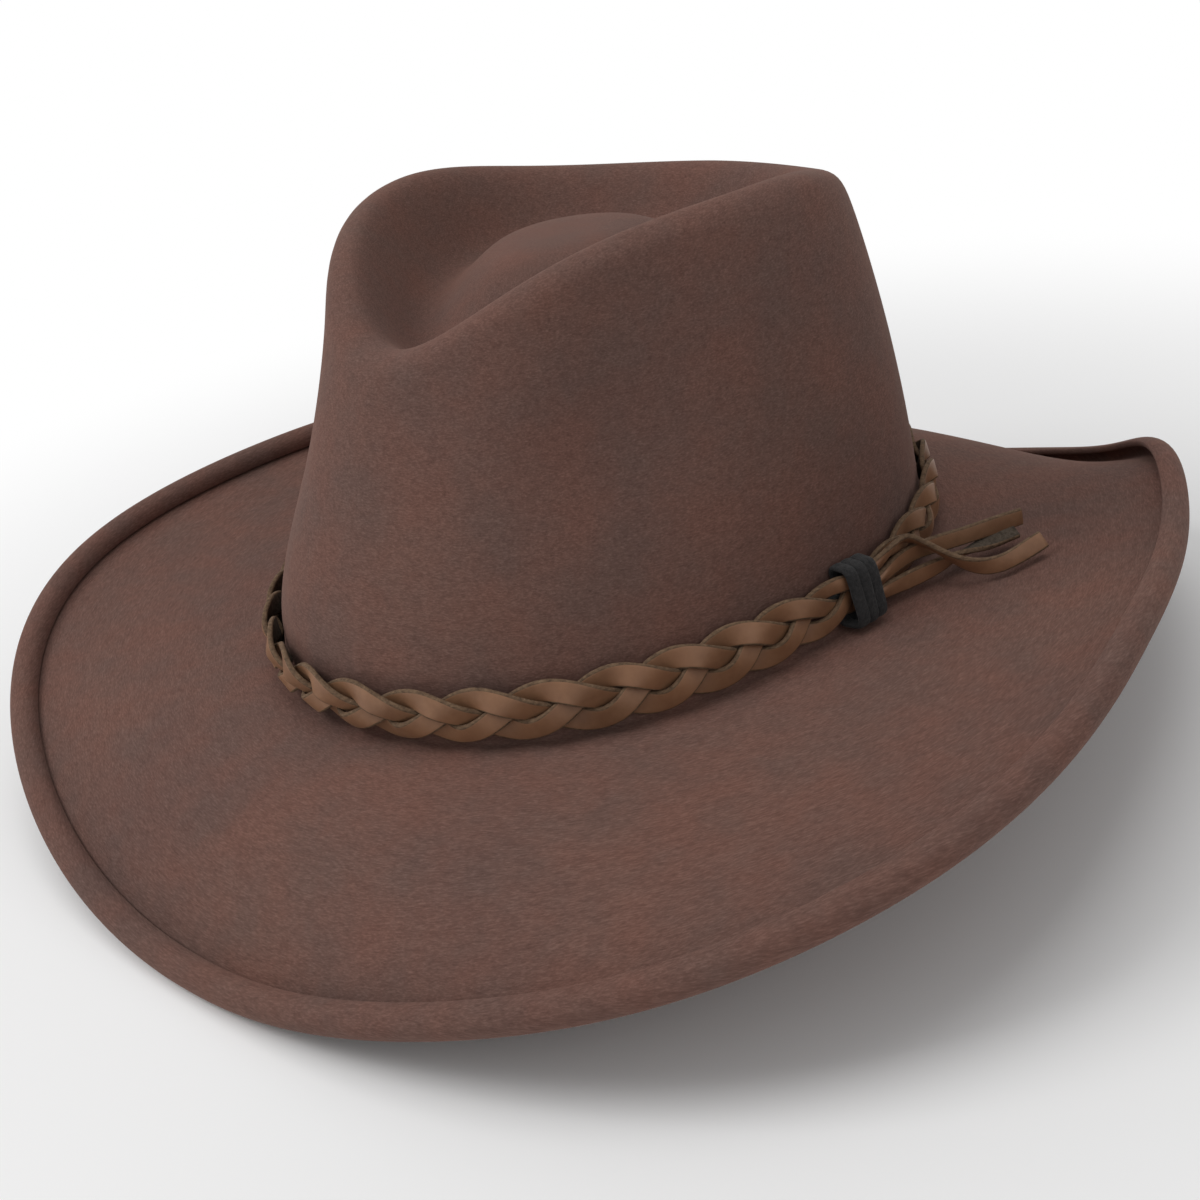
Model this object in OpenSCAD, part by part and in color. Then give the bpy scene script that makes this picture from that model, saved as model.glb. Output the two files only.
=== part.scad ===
// Felt western hat: teardrop crown, curled brim with a rolled edge,
// braided leather lace band with a wrapped joint and three loose tails,
// and a leather sweatband with its reed, tape, stitching and bow inside.
// Front of the hat is -Y, the wearer's left is +X, up is +Z.

/* [Crown at the brim break] */
// Half width of the crown, outside the felt
base_half_w = 91.5; // [84:0.5:100]
// Distance from the middle line to the front of the crown
base_front = 104; // [96:0.5:112]
// Distance from the middle line to the back of the crown
base_back = 105.5; // [97:0.5:114]
// How much wider the back half of the oval is than the front half
base_egg = 0.04; // [0:0.01:0.08]
// Squareness of the oval, where 2 is a true ellipse
base_square = 2.14; // [2:0.01:2.3]
// Thickness of the felt
felt_t = 2.2; // [1.6:0.1:2.6]

/* [Crown top] */
// Half width of the ridge that runs round the top
ridge_half_w = 65.5; // [60:0.5:70]
// Distance from the middle line to the front of the ridge
ridge_front = 66; // [60:0.5:70]
// Distance from the middle line to the back of the ridge
ridge_back = 77; // [72:0.5:82]
// How much the ridge narrows towards the front
ridge_egg = 0.26; // [0.14:0.01:0.3]
// Squareness of the ridge in plan
ridge_square = 1.8; // [1.7:0.01:2]
// Height of the ridge at the sides, above the brim break
ridge_side_h = 118.5; // [110:0.5:126]
// Height of the ridge at the front
ridge_front_h = 94; // [90:0.5:104]
// Height of the ridge at the back
ridge_back_h = 106; // [100:0.5:112]
// How narrow the ridge's dip is at the front, where 1 is an even wave
ridge_front_dip = 1.55; // [1:0.05:1.8]
// How narrow the ridge's dip is at the back
ridge_back_dip = 0.65; // [0.6:0.05:1.2]
// Height of the valley inside the ridge, at the sides
valley_side_h = 88; // [84:0.5:94]
// Height of the valley inside the ridge, at the front
valley_front_h = 81; // [78:0.5:86]
// Height of the valley inside the ridge, at the back
valley_back_h = 87; // [83:0.5:92]
// Height of the raised middle of the crown top
dome_h = 104; // [98:0.5:108]
// How far the shoulder stands out from the ridge
shoulder_out = 11; // [8:0.5:12]
// How far the shoulder lies below the ridge
shoulder_drop = 10; // [7:0.5:12]
// How far the crown wall swells outwards at half height
wall_swell = 2.6; // [0:0.1:3]
// How far the front of the crown wall flares out just above the band
front_flare = 7.5; // [0:0.5:9]
// Depth of the two pinches at the front of the crown
pinch_depth = 10; // [0:0.5:12]

/* [Brim] */
// Half width of the brim at the pressed crease
brim_half_w = 172; // [156:0.5:184]
// Half length of the brim at the pressed crease
brim_half_l = 172.5; // [160:0.5:184]
// How much wider the front half of the brim is than the back half
brim_egg = 0.14; // [0:0.01:0.18]
// Squareness of the brim in plan
brim_square = 2.23; // [2:0.01:2.4]
// Height of the crease at the sides, from the brim break
brim_side_h = 8; // [0:0.5:30]
// Height of the crease at the front, from the brim break
brim_front_h = -40; // [-46:0.5:-8]
// Height of the crease at the back, from the brim break
brim_back_h = -38; // [-46:0.5:-8]
// Extra lift of the crease half way between front and side
brim_corner_h = 6; // [0:0.5:8]
// How late the brim bends on its way out
brim_bend = 2.6; // [1.6:0.1:3.8]
// How far the upturned edge reaches out past the crease
edge_run = 5.7; // [4:0.1:7]
// How far the upturned edge rises above the crease
edge_rise = 5.5; // [4:0.1:8]

/* [Braided band] */
// Width of one leather lace
lace_w = 5.8; // [5:0.1:6]
// Width of a lace where the wrap gathers it
wrap_lace_w = 4.2; // [3.8:0.1:5]
// Thickness of one leather lace
lace_t = 1.6; // [1.2:0.1:1.7]
// Sideways swing of each strand from the middle of the braid
braid_swing = 5.6; // [5.4:0.1:6.2]
// In and out swing of each strand from the middle of the braid
braid_depth = 1.7; // [1.7:0.05:2]
// Tilt of a strand as it crosses the middle of the braid, degrees
braid_tilt = 10; // [8:1:12]
// Length of one full weave of a strand
braid_pitch = 60; // [56:1:66]
// Sideways swing of each strand where the wrap gathers the braid
wrap_swing = 4.2; // [4.1:0.1:5]
// Space between the band's wrap and the crown
band_gap = 0.8; // [0.6:0.1:1.6]
// Height of the wrap's lower edge above the brim break
band_foot_h = 0.6; // [0.5:0.1:2]
// Width of the wrapping lace
wrap_w = 4.4; // [3:0.1:4.6]
// Thickness of the wrapping lace
wrap_t = 1.2; // [0.9:0.1:1.4]
// Distance between one turn of the wrap and the next
wrap_pitch = 4.7; // [4.7:0.1:6]
// Number of turns of the wrap
wrap_turns = 3; // [2:1:4]
// Clearance between laces that lie against each other
lace_gap = 0.3; // [0.2:0.05:0.5]

/* [Sweatband] */
// Height of the leather sweatband
sweat_h = 36; // [28:0.5:42]
// Thickness of the sweatband leather
sweat_t = 1.1; // [0.8:0.1:1.5]
// Height of the sweatband's lower edge above the brim break
sweat_foot_h = 1.2; // [1:0.1:4]
// Clearance between the sweatband and the felt
sweat_gap = 0.6; // [0.5:0.05:0.8]
// Radius of the reed inside the lower edge
reed_r = 1; // [0.8:0.1:1.3]
// Wall of the tape that covers the reed
tape_t = 0.5; // [0.4:0.05:0.7]
// Clearance between the reed and its tape
reed_gap = 0.1; // [0.05:0.05:0.2]
// Distance from one stitch to the next
stitch_pitch = 6; // [5:0.5:9]
// Length of one stitch
stitch_len = 3.4; // [2:0.1:4]
// Thickness of the thread
thread_t = 0.6; // [0.5:0.05:0.8]
// Height of the stitch line above the sweatband's lower edge
stitch_h = 2.6; // [2:0.1:5]
// Length of one loop of the bow at the back of the sweatband
bow_loop_l = 11; // [8:0.5:14]
// Height of the bow's loops
bow_loop_h = 6; // [4:0.5:8]
// Width of the bow's ribbon
bow_w = 3; // [2:0.5:4]

/* [Hidden] */

felt_color = [0.41, 0.30, 0.27];
lace_color = [0.45, 0.33, 0.21];
wrap_color = [0.20, 0.19, 0.18];
sweat_color = [0.36, 0.22, 0.13];
tape_color = [0.13, 0.12, 0.12];
thread_color = [0.55, 0.45, 0.34];

// Stations round the hat
felt_steps = 72;
band_step = 5;
angles = [for (i = [0:felt_steps - 1]) 360 * i / felt_steps];

// ---- plan shapes and heights -------------------------------------------

// Point on an egg-shaped superellipse at parameter t
function oval(t, half_w, front, back, egg, power) =
    let (
        c = cos(t),
        s = sin(t),
        r = pow(pow(abs(c), power) + pow(abs(s), power), -1 / power)
    )
    [half_w * c * r * (1 + egg * s * r), (back - front) / 2 + (back + front) / 2 * s * r];

// Height that goes from front to side to back round the hat
function saddle(t, side, front, back) =
    let (w = pow(cos(t), 2))
    side * w + (1 - w) * ((front + back) / 2 + (back - front) / 2 * sin(t));

function unit(v) = v / norm(v);
function mix(a, b, f) = a + (b - a) * f;

function base_xy(t) = oval(t, base_half_w, base_front, base_back, base_egg, base_square);
function crease_xy(t) =
    oval(t, brim_half_w, brim_half_l, brim_half_l, -brim_egg, brim_square);
function crease_h(t) =
    saddle(t, brim_side_h, brim_front_h, brim_back_h) + brim_corner_h * (1 - cos(4 * t)) / 2;
function brim_out(t) = unit(crease_xy(t) - base_xy(t));

// Point of the upturned edge, run and rise past the crease
function edge_point(t, run, rise) =
    let (p = crease_xy(t) + brim_out(t) * run)
    [p[0], p[1], crease_h(t) + rise];

// Point of the brim, a share f of the way from the break to the crease
function brim_point(t, f) =
    let (p = mix(base_xy(t), crease_xy(t), f))
    [p[0], p[1], crease_h(t) * pow(f, brim_bend)];

// Height of the ridge, with a dip of its own width at the front and the back
function ridge_h(t) =
    let (
        s = sin(t),
        dip = (ridge_front_dip + ridge_back_dip) / 2 - (ridge_front_dip - ridge_back_dip) / 2 * s,
        w = pow(abs(s), 2 * dip)
    )
    mix(ridge_side_h, (ridge_front_h + ridge_back_h) / 2 + (ridge_back_h - ridge_front_h) / 2 * s, w);

// Point of the crown top, grown outwards from the ridge and raised
function ridge_point(t, out, up) =
    let (p = oval(t, ridge_half_w + out, ridge_front + out, ridge_back + out,
            ridge_egg, ridge_square))
    [p[0], p[1], ridge_h(t) + up];

// Strength of the front pinch at parameter t and share f of the wall
pinch_at = -0.58;
pinch_spread = 0.36;
pinch_top = 0.64;
pinch_tall = 0.3;
function pinch(t, f) =
    pinch_depth * exp(-pow((sin(t) - pinch_at) / pinch_spread, 2))
    * exp(-pow((f - pinch_top) / pinch_tall, 2));

// Swell of the wall at share f, which the front has more of low down
flare_rise = 3;
flare_scale = pow(flare_rise + 1, flare_rise + 1) / pow(flare_rise, flare_rise);
function swell(t, f) =
    wall_swell * 4 * f * (1 - f)
    + front_flare * pow(min(0, sin(t)), 2) * flare_scale * f * pow(1 - f, flare_rise);

// Point of the crown wall, a share f of the way from the break to the shoulder,
// with all or part of its swell
function wall_point(t, f, part = 1) =
    let (
        top = ridge_point(t, shoulder_out, -shoulder_drop),
        b = base_xy(t),
        p = mix(b, [top[0], top[1]], f) + brim_out(t) * swell(t, f) * part
    )
    [p[0] - pinch(t, f) * cos(t), p[1], top[2] * f];

// Point of the sunk crown top, inside the ridge
function valley_point(t, inset, share, up) =
    let (
        p = ridge_point(t, -inset, 0),
        v = saddle(t, valley_side_h, valley_front_h, valley_back_h)
    )
    [p[0], p[1], mix(p[2], v, share) + up];

// Point of the raised middle, at share f of the valley's size
dome_inset = 34;
function dome_point(t, f, share) =
    let (
        p = valley_point(t, dome_inset, 1, 0),
        mid = [0, (ridge_back - ridge_front) / 2]
    )
    [mid[0] + (p[0] - mid[0]) * f, mid[1] + (p[1] - mid[1]) * f, mix(p[2], dome_h, share)];

// ---- the felt as one smooth surface --------------------------------------

// Shares of edge_run and edge_rise for the rings of the upturned edge
edge_rings = [[1.14, 1.36], [1, 1], [0.75, 0.35], [0.1, 0.04]];
brim_rings = [0.97, 0.75, 0.5, 0.27, 0.12, 0.045];
wall_rings = [0.035, 0.11, 0.22, 0.4, 0.6, 0.8, 1];
break_out = 1;
break_up = 0.4;
// Insets, shares of the valley's depth and lifts of the rings inside the ridge
valley_rings = [[5, 0.15, 0], [11, 0.6, 0], [19, 1, -1]];
// Shares of the valley's size and of the dome's rise
dome_rings = [[1, 0.55], [0.7, 0.93], [0.35, 1]];

rings = concat(
    [for (e = edge_rings) [for (t = angles) edge_point(t, edge_run * e[0], edge_rise * e[1])]],
    [for (f = brim_rings) [for (t = angles) brim_point(t, f)]],
    [[for (t = angles)
        let (p = base_xy(t) + brim_out(t) * break_out)
        [p[0], p[1], break_up]]],
    [for (f = wall_rings) [for (t = angles) wall_point(t, f)]],
    [[for (t = angles) ridge_point(t, shoulder_out * 0.75, -shoulder_drop * 0.25)]],
    [[for (t = angles) ridge_point(t, 0, 0)]],
    [for (v = valley_rings) [for (t = angles) valley_point(t, v[0], v[1], v[2])]],
    [for (d = dome_rings) [for (t = angles) dome_point(t, d[0], d[1])]]
);
ring_last = len(rings) - 1;
crown_middle = [0, (ridge_back - ridge_front) / 2, dome_h];

// A ring by number, where one past each end carries the surface on
function ring_at(k) =
    k < 0 ? 2 * rings[0] - rings[1]
    : k > ring_last ? [for (t = angles) crown_middle]
    : rings[k];

// Each row is the smooth curve through three rings, as a cubic B-spline has it
rows = [for (k = [0:ring_last]) (ring_at(k - 1) + 4 * ring_at(k) + ring_at(k + 1)) / 6];
row_last = len(rows) - 1;

// Outward normal of the surface at row k, station i
function normal_at(k, i) =
    let (
        n = felt_steps,
        along = rows[k][(i + 1) % n] - rows[k][(i + n - 1) % n],
        across = rows[min(k + 1, row_last)][i] - rows[max(k - 1, 0)][i]
    )
    unit(cross(along, across));

inner_rows = [for (k = [0:row_last])
    [for (i = [0:felt_steps - 1]) rows[k][i] - normal_at(k, i) * felt_t]];
inner_middle = crown_middle - [0, 0, felt_t];

// The hat stands on the lowest points of its brim
lift = -min([for (row = inner_rows) for (p = row) p[2]]);

module felt_shell() {
    n = felt_steps;
    points = concat(
        [for (row = rows) for (p = row) p],
        [for (row = inner_rows) for (p = row) p],
        [crown_middle, inner_middle]
    );
    inner = (row_last + 1) * n;
    top = 2 * inner;
    faces = concat(
        [for (k = [0:row_last - 1]) for (i = [0:n - 1])
            let (a = k * n + i, b = k * n + (i + 1) % n)
            each [[a, a + n, b], [b, a + n, b + n]]],
        [for (k = [0:row_last - 1]) for (i = [0:n - 1])
            let (a = inner + k * n + i, b = inner + k * n + (i + 1) % n)
            each [[a, b, a + n], [b, b + n, a + n]]],
        [for (i = [0:n - 1])
            let (b = (i + 1) % n)
            each [[i, b, inner + i], [b, inner + b, inner + i]]],
        [for (i = [0:n - 1])
            let (a = row_last * n + i, b = row_last * n + (i + 1) % n)
            each [[a, top, b], [inner + a, inner + b, top + 1]]]
    );
    polyhedron(points, faces);
}

// ---- solids skinned over rings of points ----------------------------------

// Solid through a list of rings; a loop joins the last ring to the first
module skin(stations, loop = false) {
    m = len(stations[0]);
    count = len(stations);
    points = [for (s = stations) for (p = s) p];
    spans = loop ? count : count - 1;
    sides = [for (j = [0:spans - 1]) for (i = [0:m - 1])
        let (
            a = j * m + i,
            b = j * m + (i + 1) % m,
            c = ((j + 1) % count) * m + i,
            d = ((j + 1) % count) * m + (i + 1) % m
        )
        each [[a, c, b], [b, c, d]]];
    first = [for (i = [0:m - 1]) i];
    last = [for (i = [0:m - 1]) count * m - 1 - i];
    polyhedron(points, loop ? sides : concat(sides, [first, last]));
}

// The four corners of a flat lace at p, with its width and thickness directions
function lace_ring(p, across, out, w, t) = [
    p - across * w / 2 - out * t / 2,
    p + across * w / 2 - out * t / 2,
    p + across * w / 2 + out * t / 2,
    p - across * w / 2 + out * t / 2
];

// ---- places round the crown ------------------------------------------------

// Plan normal and direction of the crown's oval at parameter t
function base_along(t) = unit(base_xy(t + 0.5) - base_xy(t - 0.5));
function base_normal(t) = let (d = base_along(t)) [d[1], -d[0]];

// Point at height h, held off the outer face of the crown wall by a distance
function beside_wall(t, h, off, part = 1) =
    let (
        w = wall_point(t, h / (ridge_h(t) - shoulder_drop), part),
        n = base_normal(t)
    )
    [w[0] + n[0] * off, w[1] + n[1] * off, h];

// Lengths round the oval, held off the crown by a distance
function oval_point(t, off) = base_xy(t) + base_normal(t) * off;
oval_angles = [for (i = [0:180]) 2 * i];
function oval_steps(off) = [for (i = [1:180])
    norm(oval_point(oval_angles[i], off) - oval_point(oval_angles[i - 1], off))];
function running_sum(v) = [for (i = 0, s = 0; i <= len(v); s = s + (i < len(v) ? v[i] : 0), i = i + 1) s];
function oval_table(off) =
    let (sums = running_sum(oval_steps(off)))
    [for (i = [0:180]) [sums[i], oval_angles[i]]];

// ---- braided band ------------------------------------------------------------

braid_half_h = wrap_swing + wrap_lace_w / 2;
tail_half_h = 1.5 * wrap_lace_w + lace_gap;
corner_room = 0.5;
wrap_half_h = max(braid_half_h, tail_half_h) + lace_gap + corner_room;
band_mid_h = band_foot_h + wrap_t + wrap_half_h;
// How far the crown wall has leaned in at the band's height
wall_lean = base_half_w - beside_wall(0, band_mid_h, 0)[0];

wrap_in = band_gap + wrap_t;
// Room for the braid to curve with the crown inside the straight wrap
bend_room = 0.8;
braid_mid = wrap_in + lace_gap + bend_room + braid_depth + lace_t / 2;
tail_mid = braid_mid + braid_depth + lace_t + lace_gap;
wrap_out = tail_mid + lace_t / 2 + lace_gap;
// Away from the wrap the braid lies closer to the crown
free_mid = band_gap + braid_depth + lace_t / 2;
wrap_reach = 22;
lean_step = 2;
wrap_start = wrap_pitch * wrap_turns / 2;
// End of the wrap over its top edge, which the tails start behind
wrap_end = wrap_pitch * (wrap_turns / 2 - 0.25) + wrap_w / 2;

braid_table = oval_table(braid_mid);
braid_len = braid_table[180][0];
end_gap = 1;
strand_len = braid_len - 2 * end_gap;
strand_steps = ceil(strand_len / band_step);

// How much the wrap gathers the braid at distance s along it
function gather(s) = exp(-pow(min(s, braid_len - s) / wrap_reach, 2));

// Middle of a strand at distance s from the wrap, for a strand's phase, with the
// height and the distance off the crown measured from there
function strand_point(s, phase, rise, off) =
    let (
        a = 360 * s / braid_pitch + phase,
        g = gather(s),
        h = band_mid_h + mix(braid_swing, wrap_swing, g) * sin(a) + rise
    )
    beside_wall(lookup(s, braid_table), h,
        mix(free_mid, braid_mid + wall_lean, g) + braid_depth * sin(2 * a) + off);

// Section of a strand, which leans with the wall and tilts as it crosses the others
function strand_ring(s, phase) =
    let (
        a = 360 * s / braid_pitch + phase,
        d = base_along(lookup(s, braid_table)),
        along = [d[0], d[1], 0],
        lean = unit(strand_point(s, phase, lean_step, 0) - strand_point(s, phase, -lean_step, 0)),
        slope = atan(mix(braid_swing, wrap_swing, gather(s)) * 2 * PI / braid_pitch * cos(a)),
        up = lean * cos(slope) - along * sin(slope),
        out = cross(along, lean),
        tilt = braid_tilt * cos(3 * a)
    )
    lace_ring(strand_point(s, phase, 0, 0), up * cos(tilt) + out * sin(tilt),
        out * cos(tilt) - up * sin(tilt), mix(lace_w, wrap_lace_w, gather(s)), lace_t);

module strand(phase) {
    skin([for (j = [0:strand_steps])
        strand_ring(end_gap + strand_len * j / strand_steps, phase)]);
}

// Point and outward direction on the wrap's rounded outline, at share f of a turn
wrap_mid_x = (wrap_in + wrap_out) / 2 + base_half_w;
wrap_half_x = (wrap_out - wrap_in) / 2;
turn_steps = 24;
function wrap_dir(f) = [cos(360 * f), sin(360 * f)];
wrap_round = 8;
function wrap_outline(f, grow) =
    let (
        d = wrap_dir(f),
        r = pow(pow(abs(d[0]), wrap_round) + pow(abs(d[1]), wrap_round), -1 / wrap_round)
    )
    [(wrap_half_x + grow) * d[0] * r, (wrap_half_h + grow) * d[1] * r];

module wrap_lace() {
    steps = turn_steps * wrap_turns;
    skin([for (j = [0:steps])
        let (
            f = 0.5 + j / turn_steps,
            y = wrap_pitch * j / turn_steps - wrap_start,
            a = wrap_outline(f, 0),
            b = wrap_outline(f, wrap_t),
            low = y - wrap_w / 2,
            high = y + wrap_w / 2,
            x = wrap_mid_x,
            z = band_mid_h
        )
        [[x + a[0], low, z + a[1]], [x + b[0], low, z + b[1]],
            [x + b[0], high, z + b[1]], [x + a[0], high, z + a[1]]]]);
}

// ---- loose tails ---------------------------------------------------------------

// Routes: distance towards the back, distance out from the wrap's tail layer,
// height from the middle of the band, and roll of the lace in degrees
tail_row = wrap_lace_w + lace_gap;
// Room behind the wrap for a tail to swing
swing_room = 0.6;
tail_root = wrap_end + swing_room;
top_route = [[0, 0, tail_row, 0], [4, 0.4, tail_row, 0], [10, 3, tail_row, 0], [17, 7, 5, 0],
    [26, 11.5, 2.5, 0], [35, 16.5, -2.4, -10], [44, 21.5, -3.2, -40], [51, 27, -3.6, -55]];
upper_route = [[0, 0, 0, 0], [8, 0, 0, 0], [16, 0.3, -0.4, 0], [26, 1, -1, 5],
    [37, 3, -2.2, 10], [48, 6, -3, 15], [60, 10.5, -3.6, 20]];
lower_route = [[0, 0, -tail_row, 0], [5, 0.6, -tail_row, 0], [12, 4, -tail_row, 0],
    [22, 8, -4, 5], [32, 11, -3.6, 15], [42, 14.5, -3.6, 30], [49, 18, -3.6, 40]];
tail_steps = 2;
// Where a tail starts to open out to its full width, and over what distance
spread_start = 6;
spread_reach = 10;

// Smooth point of a route at span k and share u, as a cubic B-spline has it
function route_at(route, k) =
    let (n = len(route) - 1)
    k < 0 ? 2 * route[0] - route[1] : k > n ? 2 * route[n] - route[n - 1] : route[k];
function route_point(route, v) =
    let (
        k = min(floor(v), len(route) - 2),
        u = v - k
    )
    (route_at(route, k - 1) * pow(1 - u, 3)
        + route_at(route, k) * (3 * pow(u, 3) - 6 * pow(u, 2) + 4)
        + route_at(route, k + 1) * (-3 * pow(u, 3) + 3 * pow(u, 2) + 3 * u + 1)
        + route_at(route, k + 2) * pow(u, 3)) / 6;

function tail_xyz(r) = [base_half_w + tail_mid + r[1], tail_root + r[0], band_mid_h + r[2]];

function tail_ring(route, v) =
    let (
        r = route_point(route, v),
        d = unit(tail_xyz(route_point(route, v + 0.01)) - tail_xyz(route_point(route, v - 0.01))),
        side = unit(cross(d, [0, 0, 1])),
        up = cross(side, d)
    )
    lace_ring(tail_xyz(r), up * cos(r[3]) + side * sin(r[3]),
        side * cos(r[3]) - up * sin(r[3]),
        mix(wrap_lace_w, lace_w, min(1, max(0, r[0] - spread_start) / spread_reach)), lace_t);

module tail(route) {
    last = (len(route) - 1) * tail_steps;
    skin([for (j = [0:last]) tail_ring(route, j / tail_steps)]);
}

// ---- sweatband and what is sewn to it ---------------------------------------------

sweat_steps = 72;
sweat_levels = 6;
sweat_out = felt_t + sweat_gap;
sweat_in = sweat_out + sweat_t;

// The sweatband stands straighter than the wall and follows part of its swell
sweat_follow = 0.8;
function inside_point(t, h, depth) = beside_wall(t, h, -depth, sweat_follow);

module band_inside(low, high, out, in, levels) {
    skin([for (i = [0:sweat_steps - 1])
        let (t = 360 * i / sweat_steps)
        concat(
            [for (j = [0:levels]) inside_point(t, mix(low, high, j / levels), in)],
            [for (j = [0:levels]) inside_point(t, mix(high, low, j / levels), out)]
        )], loop = true);
}

reed_out_r = reed_r + reed_gap + tape_t;
reed_depth = (sweat_out + sweat_in) / 2 + 0.4;
reed_h = sweat_foot_h - 0.3 - reed_out_r;
reed_sides = 8;

module reed_ring_solid() {
    skin([for (i = [0:sweat_steps - 1])
        let (t = 360 * i / sweat_steps, n = base_normal(t), b = base_xy(t))
        [for (j = [0:reed_sides - 1])
            let (a = 360 * j / reed_sides, d = reed_depth + reed_r * cos(a))
            [b[0] - n[0] * d, b[1] - n[1] * d, reed_h + reed_r * sin(a)]]], loop = true);
}

// The tape is folded up round the reed and is open at the top
tape_open = 35;
tape_sides = 8;
module tape_sleeve() {
    arc = [for (j = [0:tape_sides]) 90 + tape_open + (360 - 2 * tape_open) * j / tape_sides];
    inner_r = reed_r + reed_gap;
    skin([for (i = [0:sweat_steps - 1])
        let (t = 360 * i / sweat_steps, n = base_normal(t), b = base_xy(t))
        [for (q = concat([for (a = arc) [reed_out_r, a]],
                [for (j = [0:tape_sides]) [inner_r, arc[tape_sides - j]]]))
            let (d = reed_depth + q[0] * cos(q[1]))
            [b[0] - n[0] * d, b[1] - n[1] * d, reed_h + q[0] * sin(q[1])]]], loop = true);
}

stitch_table = oval_table(-sweat_in);
stitch_round = stitch_table[180][0];
stitch_count = floor(stitch_round / stitch_pitch);

thread_gap = 0.5;

module stitches() {
    for (i = [0:stitch_count - 1]) {
        t = lookup(stitch_round * i / stitch_count, stitch_table);
        d = base_along(t);
        p = inside_point(t, sweat_foot_h + stitch_h, sweat_in + thread_gap + thread_t / 2);
        translate(p) rotate([0, 0, atan2(d[1], d[0])])
            cube([stitch_len, thread_t, thread_t], center = true);
    }
}

// One loop of the bow, as a flat teardrop of ribbon
bow_ribbon = 0.8;
function teardrop(l, h) = [for (i = [0:23])
    let (a = 15 * i)
    [l / 2 - l / 2 * cos(a), h / 2 * sin(a) * sin(a / 2)]];

module bow_loop() {
    difference() {
        linear_extrude(bow_w) polygon(teardrop(bow_loop_l, bow_loop_h));
        translate([bow_ribbon * 1.5, 0, -1])
            linear_extrude(bow_w + 2)
            polygon(teardrop(bow_loop_l - 2.5 * bow_ribbon, bow_loop_h - 2 * bow_ribbon));
    }
}

bow_h = sweat_foot_h + 9;
knot_w = 3.2;
knot_h = 4;
bow_gap = 1.3;
module bow() {
    at = inside_point(90, bow_h, sweat_in + bow_gap);
    translate([at[0], at[1], at[2]]) rotate([90, 0, 0]) {
        for (side = [0, 180]) rotate([0, side, 0])
            translate([knot_w / 2 - 0.4, 0, side == 0 ? 0 : -bow_w]) bow_loop();
        translate([-knot_w / 2, -knot_h / 2, 0]) cube([knot_w, knot_h, bow_w]);
    }
}

// ---- nodes ---------------------------------------------------------------------------

module felt_body() { color(felt_color) translate([0, 0, lift]) felt_shell(); }
module sweatband() {
    color(sweat_color) translate([0, 0, lift])
        band_inside(sweat_foot_h, sweat_foot_h + sweat_h, sweat_out, sweat_in, sweat_levels);
}
module sweatband_reed() { color("ivory") translate([0, 0, lift]) reed_ring_solid(); }
module reed_tape() { color(tape_color) translate([0, 0, lift]) tape_sleeve(); }
module sweatband_stitching() { color(thread_color) translate([0, 0, lift]) stitches(); }
module sweatband_bow() { color(tape_color) translate([0, 0, lift]) bow(); }
module braid_strand_1() { color(lace_color) translate([0, 0, lift]) strand(0); }
module braid_strand_2() { color(lace_color) translate([0, 0, lift]) strand(120); }
module braid_strand_3() { color(lace_color) translate([0, 0, lift]) strand(240); }
module band_wrap() { color(wrap_color) translate([0, 0, lift]) wrap_lace(); }
module top_tail() { color(lace_color) translate([0, 0, lift]) tail(top_route); }
module upper_tail() { color(lace_color) translate([0, 0, lift]) tail(upper_route); }
module lower_tail() { color(lace_color) translate([0, 0, lift]) tail(lower_route); }

felt_body();
sweatband();
sweatband_reed();
reed_tape();
sweatband_stitching();
sweatband_bow();
braid_strand_1();
braid_strand_2();
braid_strand_3();
band_wrap();
top_tail();
upper_tail();
lower_tail();
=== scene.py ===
"""Looks of a felt western hat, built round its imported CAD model."""
import math

import bpy
import numpy as np
from mathutils import Matrix, Vector


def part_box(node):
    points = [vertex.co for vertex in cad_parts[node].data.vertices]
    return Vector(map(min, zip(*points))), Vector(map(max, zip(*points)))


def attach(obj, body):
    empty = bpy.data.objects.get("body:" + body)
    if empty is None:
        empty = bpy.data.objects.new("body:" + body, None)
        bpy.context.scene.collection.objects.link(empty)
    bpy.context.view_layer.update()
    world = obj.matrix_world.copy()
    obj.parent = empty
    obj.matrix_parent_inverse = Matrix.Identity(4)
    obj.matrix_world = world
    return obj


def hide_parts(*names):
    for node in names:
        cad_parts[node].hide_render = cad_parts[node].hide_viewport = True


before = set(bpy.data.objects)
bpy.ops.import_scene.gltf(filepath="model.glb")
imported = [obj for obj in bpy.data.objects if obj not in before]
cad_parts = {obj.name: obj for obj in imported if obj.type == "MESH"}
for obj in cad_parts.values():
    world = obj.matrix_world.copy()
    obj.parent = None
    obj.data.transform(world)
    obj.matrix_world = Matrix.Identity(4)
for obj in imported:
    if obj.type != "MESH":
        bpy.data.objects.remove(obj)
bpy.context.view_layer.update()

MM = 0.001
TAU = 2 * math.pi

# ---- driving dimensions, in millimetres and degrees ----------------------------------
# They are the CAD model's, apart from the brim's edge, the pinches and the band, which
# follow the hat's softer and less even looks.
BASE_HALF_W, BASE_FRONT, BASE_BACK = 91.5, 104, 105.5
BASE_EGG, BASE_SQUARE = 0.04, 2.14
FELT_T = 2.2
RIDGE_HALF_W, RIDGE_FRONT, RIDGE_BACK = 65.5, 66, 77
RIDGE_EGG, RIDGE_SQUARE = 0.26, 1.8
RIDGE_SIDE_H, RIDGE_FRONT_H, RIDGE_BACK_H = 118.5, 94, 106
RIDGE_FRONT_DIP, RIDGE_BACK_DIP = 1.55, 0.65
VALLEY_SIDE_H, VALLEY_FRONT_H, VALLEY_BACK_H = 88, 81, 87
DOME_H = 104
SHOULDER_OUT, SHOULDER_DROP = 11, 10
WALL_SWELL = 2.6
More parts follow.
